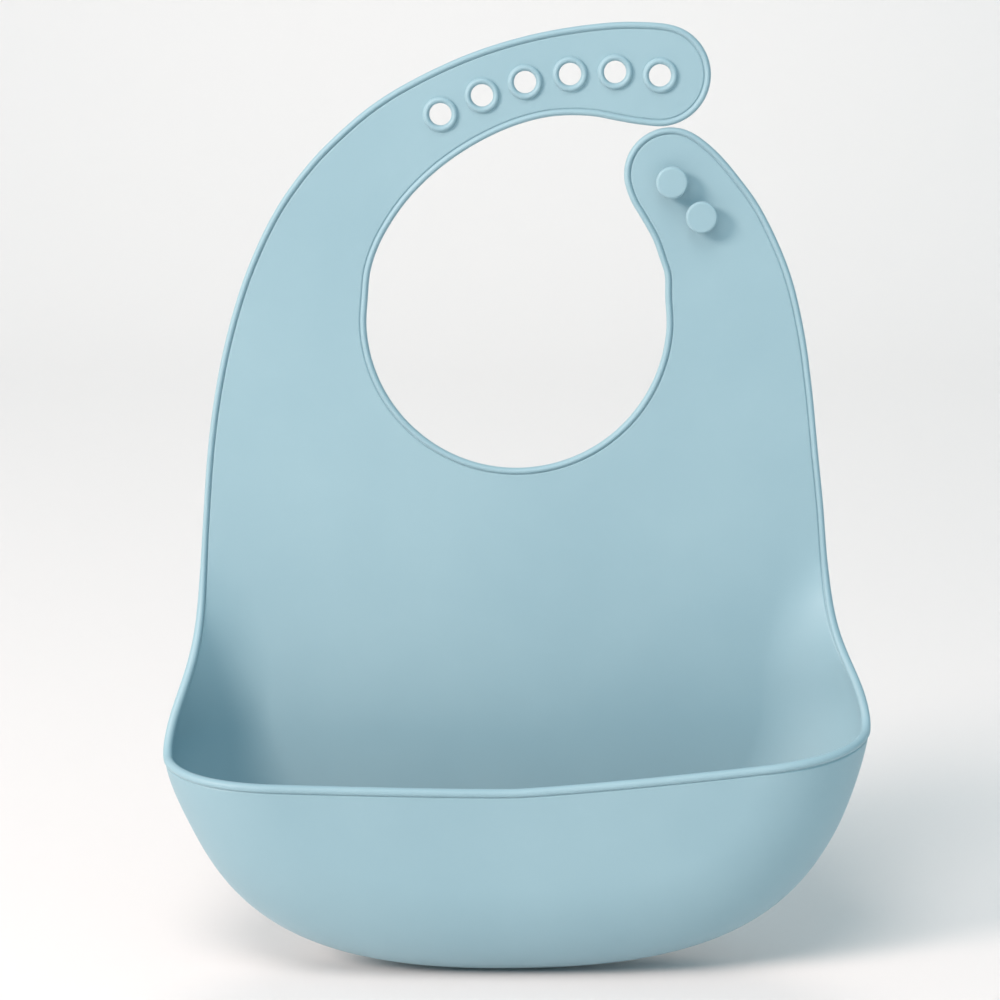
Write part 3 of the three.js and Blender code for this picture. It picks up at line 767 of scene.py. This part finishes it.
def lathe(name, profile, centre, material, segments=72):
    """A turned piece on the strap's front, from a profile of radius and height over the sheet's middle.
    A profile that starts on the axis ends on it; any other is closed into a ring."""
    profile = np.array(profile, float)
    before, after = np.roll(profile, 1, axis=0), np.roll(profile, -1, axis=0)
    on_axis = profile[0, 0] == 0
    if on_axis:
        before[0], after[-1] = profile[1] * [-1, 1], profile[-2] * [-1, 1]
    tangent = unit(unit(profile - before) + unit(after - profile))
    outward = np.stack([tangent[:, 1], -tangent[:, 0]], axis=1)
    turn = np.linspace(0, 2 * math.pi, segments, endpoint=False)

    def spun(pairs):
        radius, height = pairs[:, :1], pairs[:, 1:]
        rings = np.stack([radius * np.cos(turn), 0 * turn - height, radius * np.sin(turn)], axis=2)
        return rings.reshape(-1, 3)

    index = np.arange(len(profile) * segments).reshape(len(profile), segments)
    here, above = (index[:-1], index[1:]) if on_axis else (index, np.roll(index, -1, axis=0))
    quads = np.stack([here, np.roll(here, -1, 1), np.roll(above, -1, 1), above], axis=2).reshape(-1, 4)
    turned, facing = spun(profile) + [centre[0], 0, centre[1]], unit(spun(outward))
    ends = turned[quads]
    across = np.cross(ends[:, 2] - ends[:, 0], ends[:, 3] - ends[:, 1])
    if (across * facing[quads].sum(axis=1)).sum() < 0:
        quads = quads[:, ::-1]
    return make_piece(name, turned, quads, facing, material)


def arc(centre_radius, centre_height, reach, rise, from_degrees, to_degrees, count):
    angles = np.radians(np.linspace(from_degrees, to_degrees, count))
    return [(centre_radius + reach * math.cos(a), centre_height + rise * math.sin(a)) for a in angles]


# ---- material: satin silicone ----
SILICONE_LOW, SILICONE_HIGH = (0.266, 0.419, 0.48), (0.29, 0.447, 0.506)


def satin_silicone():
    made = bpy.data.materials.new("satin_silicone")
    made.use_nodes = True
    nodes, links = made.node_tree.nodes, made.node_tree.links
    shader = nodes["Principled BSDF"]
    shader.inputs["Specular IOR Level"].default_value = 0.42
    shader.inputs["Sheen Weight"].default_value = 0.12
    shader.inputs["Sheen Roughness"].default_value = 0.45
    place = nodes.new("ShaderNodeTexCoord")

    def noise(scale, detail):
        node = nodes.new("ShaderNodeTexNoise")
        node.inputs["Scale"].default_value = scale
        node.inputs["Detail"].default_value = detail
        links.new(place.outputs["Object"], node.inputs["Vector"])
        return node.outputs["Fac"]

    def ramp(factor, low, high, start=0.35, end=0.65):
        node = nodes.new("ShaderNodeValToRGB")
        node.color_ramp.elements[0].color = (*low, 1)
        node.color_ramp.elements[1].color = (*high, 1)
        node.color_ramp.elements[0].position = start
        node.color_ramp.elements[1].position = end
        links.new(factor, node.inputs["Fac"])
        return node.outputs["Color"]

    # pigment that is slightly uneven over a few centimetres
    pigment = ramp(noise(scale=14, detail=3), SILICONE_LOW, SILICONE_HIGH)
    links.new(pigment, shader.inputs["Base Color"])
    # a fine matte grain from the mould
    roughness = nodes.new("ShaderNodeMapRange")
    roughness.inputs["To Min"].default_value = 0.46
    roughness.inputs["To Max"].default_value = 0.58
    links.new(noise(scale=220, detail=4), roughness.inputs["Value"])
    links.new(roughness.outputs["Result"], shader.inputs["Roughness"])
    grain = nodes.new("ShaderNodeBump")
    grain.inputs["Strength"].default_value = 0.12
    grain.inputs["Distance"].default_value = 0.00008
    links.new(noise(scale=2600, detail=2), grain.inputs["Height"])
    links.new(grain.outputs["Normal"], shader.inputs["Normal"])
    return made


silicone = satin_silicone()

# ---- the skin's pieces ----
pieces = {}
for name in dict.fromkeys(name for name, _ in zone_rules):
    piece_faces = faces[zone == name]
    used, local = np.unique(piece_faces, return_inverse=True)
    pieces[name] = make_piece(
        name, places[used], local.reshape(-1, 3), normals[used], silicone
    )

# Eyelets: a half-round rim on the strap's front and a low one on its back
RIM_MIDDLE, RIM_HALF, RIM_RISE, RIM_BACK_RISE = 4.33, 0.98, 1.15, 0.35
SINK = 0.15  # each arc starts and ends this far inside the sheet
rim_profile = [
    *arc(RIM_MIDDLE, HALF_SHEET - SINK, RIM_HALF, RIM_RISE + SINK, 0, 180, count=17),
    *arc(RIM_MIDDLE, -HALF_SHEET + SINK, RIM_HALF, RIM_BACK_RISE + SINK, 180, 360, count=13),
]
for name, centre in zip(eyelet_names, eyelet_centres):
    pieces[name] = lathe(name, rim_profile, centre, silicone)

# Studs: a stem that flares into the sheet, and a flat head with rounded edges
STEM, HEAD = 3.2, 4.82
FOOT, FLARE_HEIGHT, HEAD_BACK, HEAD_FRONT = 0.5, 1.76, 3.9, 6.1
FLARE_RADIUS, UNDER_HEAD, BACK_ROUND = 0.9, 0.3, 0.35
FRONT_ROUND, FRONT_ROUND_DEPTH = 0.8, 0.75
FLAT_INSETS = (1.1, 1.5)  # two points inside the rounding, so that the flat front shades flat
stud_profile = [
    (0, FOOT), (STEM + FLARE_RADIUS, FOOT),
    *arc(STEM + FLARE_RADIUS, FLARE_HEIGHT, FLARE_RADIUS, FLARE_RADIUS, 270, 180, count=7),
    *arc(STEM + UNDER_HEAD, HEAD_BACK - UNDER_HEAD, UNDER_HEAD, UNDER_HEAD, 180, 90, count=4),
    *arc(HEAD - BACK_ROUND, HEAD_BACK + BACK_ROUND, BACK_ROUND, BACK_ROUND, 270, 360, count=5),
    *arc(
        HEAD - FRONT_ROUND, HEAD_FRONT - FRONT_ROUND_DEPTH, FRONT_ROUND, FRONT_ROUND_DEPTH,
        0, 84, count=9,
    ),
    *((HEAD - inset, HEAD_FRONT) for inset in FLAT_INSETS), (0, HEAD_FRONT),
]
for name in ("stud_upper", "stud_lower"):
    pieces[name] = lathe(name, stud_profile, centre_of(name), silicone)

# ---- what each piece rides on, and the frame's solids that it stands for ----
for name, body, *nodes in (
    ("chest", "chest", "chest_panel", "neck_bead", "chest_bead_left", "chest_bead_right"),
    ("belly", "belly", "belly_panel", "pocket_back_wall", "side_bead_left", "side_bead_right"),
    ("pocket_front", "pocket_front", "pocket_front_wall", "pocket_lip_bead"),
    ("long_strap_root", "long_root", "long_strap_root", "long_root_bead_inner", "long_root_bead_outer"),
    (
        "long_strap_middle", "long_middle", "long_strap_middle",
        "long_middle_bead_inner", "long_middle_bead_outer",
    ),
    ("long_strap_tip", "long_tip", "long_strap_tip", "long_tip_bead"),
    ("short_strap", "short", "short_strap", "short_strap_bead"),
    ("eyelet_1", "long_middle", "eyelet_1"),
    ("eyelet_2", "long_middle", "eyelet_2"),
    ("eyelet_5", "long_tip", "eyelet_5"),
    ("eyelet_6", "long_tip", "eyelet_6"),
    ("stud_upper", "short", "stud_upper"),
    ("stud_lower", "short", "stud_lower"),
):
    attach(pieces[name], body)
    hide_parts(*nodes)


def bend(name, joint, direction, reach, *nodes):
    """Bakes the piece's place into its mesh and hides the frame's solids that it stands for; joint and
    reach are not used.
    """
    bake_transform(pieces[name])
    if nodes:
        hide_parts(*nodes)


bend("belly_fold", "panel_fold", DOWN, FOLD_REACH)
bend("long_strap_base", "long_root_bend", UP, ROOT_REACH)
bend("short_strap_base", "short_bend", UP, ROOT_REACH)
bend("long_strap_first_bend", "long_middle_bend", toward_middle, MIDDLE_REACH)
for name, *nodes in (
    ("long_strap_second_bend",), ("eyelet_3", "eyelet_3"), ("eyelet_4", "eyelet_4"),
):
    bend(name, "long_tip_bend", toward_tip, TIP_REACH, *nodes)
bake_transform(pieces["pocket_floor"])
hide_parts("pocket_floor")

# ---- floor, light and camera ----


def plain_material(name, colour, roughness):
    made = bpy.data.materials.new(name)
    made.use_nodes = True
    shader = made.node_tree.nodes["Principled BSDF"]
    shader.inputs["Base Color"].default_value = (*colour, 1)
    shader.inputs["Roughness"].default_value = roughness
    return made


# A floor that curves up into a wall behind the bib, in metres
FLOOR_HALF = 6.0
WALL_FROM, WALL_CURVE, WALL_TOP = 1.2, 1.0, 5.0
FLOOR_CLEARANCE = 0.0004
CURVE_ANGLES = np.radians(np.linspace(5, 90, 18))
low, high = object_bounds()
sweep = [(-FLOOR_HALF, 0.0), (WALL_FROM, 0.0)]
sweep += [
    (WALL_FROM + WALL_CURVE * math.sin(a), WALL_CURVE - WALL_CURVE * math.cos(a))
    for a in CURVE_ANGLES
]
sweep += [(WALL_FROM + WALL_CURVE, WALL_TOP)]
floor_z = low.z - FLOOR_CLEARANCE
floor_places = [(side * FLOOR_HALF, y, z + floor_z) for y, z in sweep for side in (-1, 1)]
floor_mesh = bpy.data.meshes.new("studio_sweep")
floor_mesh.from_pydata(
    floor_places, [], [(2 * i, 2 * i + 1, 2 * i + 3, 2 * i + 2) for i in range(len(sweep) - 1)]
)
floor_mesh.polygons.foreach_set("use_smooth", np.ones(len(floor_mesh.polygons), bool))
PALE, FLOOR_ROUGHNESS = 0.63, 0.8
floor_mesh.materials.append(plain_material("pale_floor", (PALE, PALE, PALE), FLOOR_ROUGHNESS))
floor = bpy.data.objects.new("studio_sweep", floor_mesh)
bpy.context.scene.collection.objects.link(floor)


def area_light(name, place, aim, size, power, colour):
    """A round light: its place and aim in metres, its width in metres and its power in watts."""
    data = bpy.data.lights.new(name, "AREA")
    data.shape = "DISK"
    data.size = size
    data.energy = power
    data.color = colour
    made = bpy.data.objects.new(name, data)
    made.location = place
    made.rotation_euler = (Vector(aim) - Vector(place)).to_track_quat("-Z", "Y").to_euler()
    bpy.context.scene.collection.objects.link(made)
    return made


# A warm key from the left and a softer one overhead; a third lights only the floor and the wall
bib_middle = (low + high) / 2
area_light("key", (-1.42, -1.11, 0.84), bib_middle, size=0.6, power=37, colour=(1.0, 0.79, 0.71))
area_light("overhead", (-0.35, -1.1, 1.65), bib_middle, size=1.0, power=14, colour=(1.0, 0.86, 0.81))
backdrop_light = area_light(
    "backdrop", (0, 1.5, 1.6), aim=(0, 1.55, 0), size=1.4, power=17, colour=(1.0, 0.84, 0.76)
)
backdrop_only = bpy.data.collections.new("backdrop_only")
backdrop_only.objects.link(floor)
backdrop_light.light_linking.receiver_collection = backdrop_only

FILL_COLOUR, FILL_STRENGTH = (0.73, 1.04, 1.16), 0.62  # a cool fill from all round
world = bpy.data.worlds.new("studio")
world.use_nodes = True
fill_light = world.node_tree.nodes["Background"]
fill_light.inputs["Color"].default_value = (*FILL_COLOUR, 1)
fill_light.inputs["Strength"].default_value = FILL_STRENGTH
bpy.context.scene.world = world
bpy.context.scene.view_settings.view_transform = "Standard"

LENS_MM = 104.5
camera_data = bpy.data.cameras.new("camera")
camera_data.lens = LENS_MM
camera_data.sensor_width = 36
camera_data.clip_end = 50
camera = bpy.data.objects.new("camera", camera_data)
CAMERA_PLACE, CAMERA_AIM = Vector((-0.005054, -0.883464, 0.115561)), Vector((-0.005054, 0, -0.056167))
camera.location = CAMERA_PLACE
camera.rotation_euler = (CAMERA_AIM - CAMERA_PLACE).to_track_quat("-Z", "Y").to_euler()
bpy.context.scene.collection.objects.link(camera)
bpy.context.scene.camera = camera
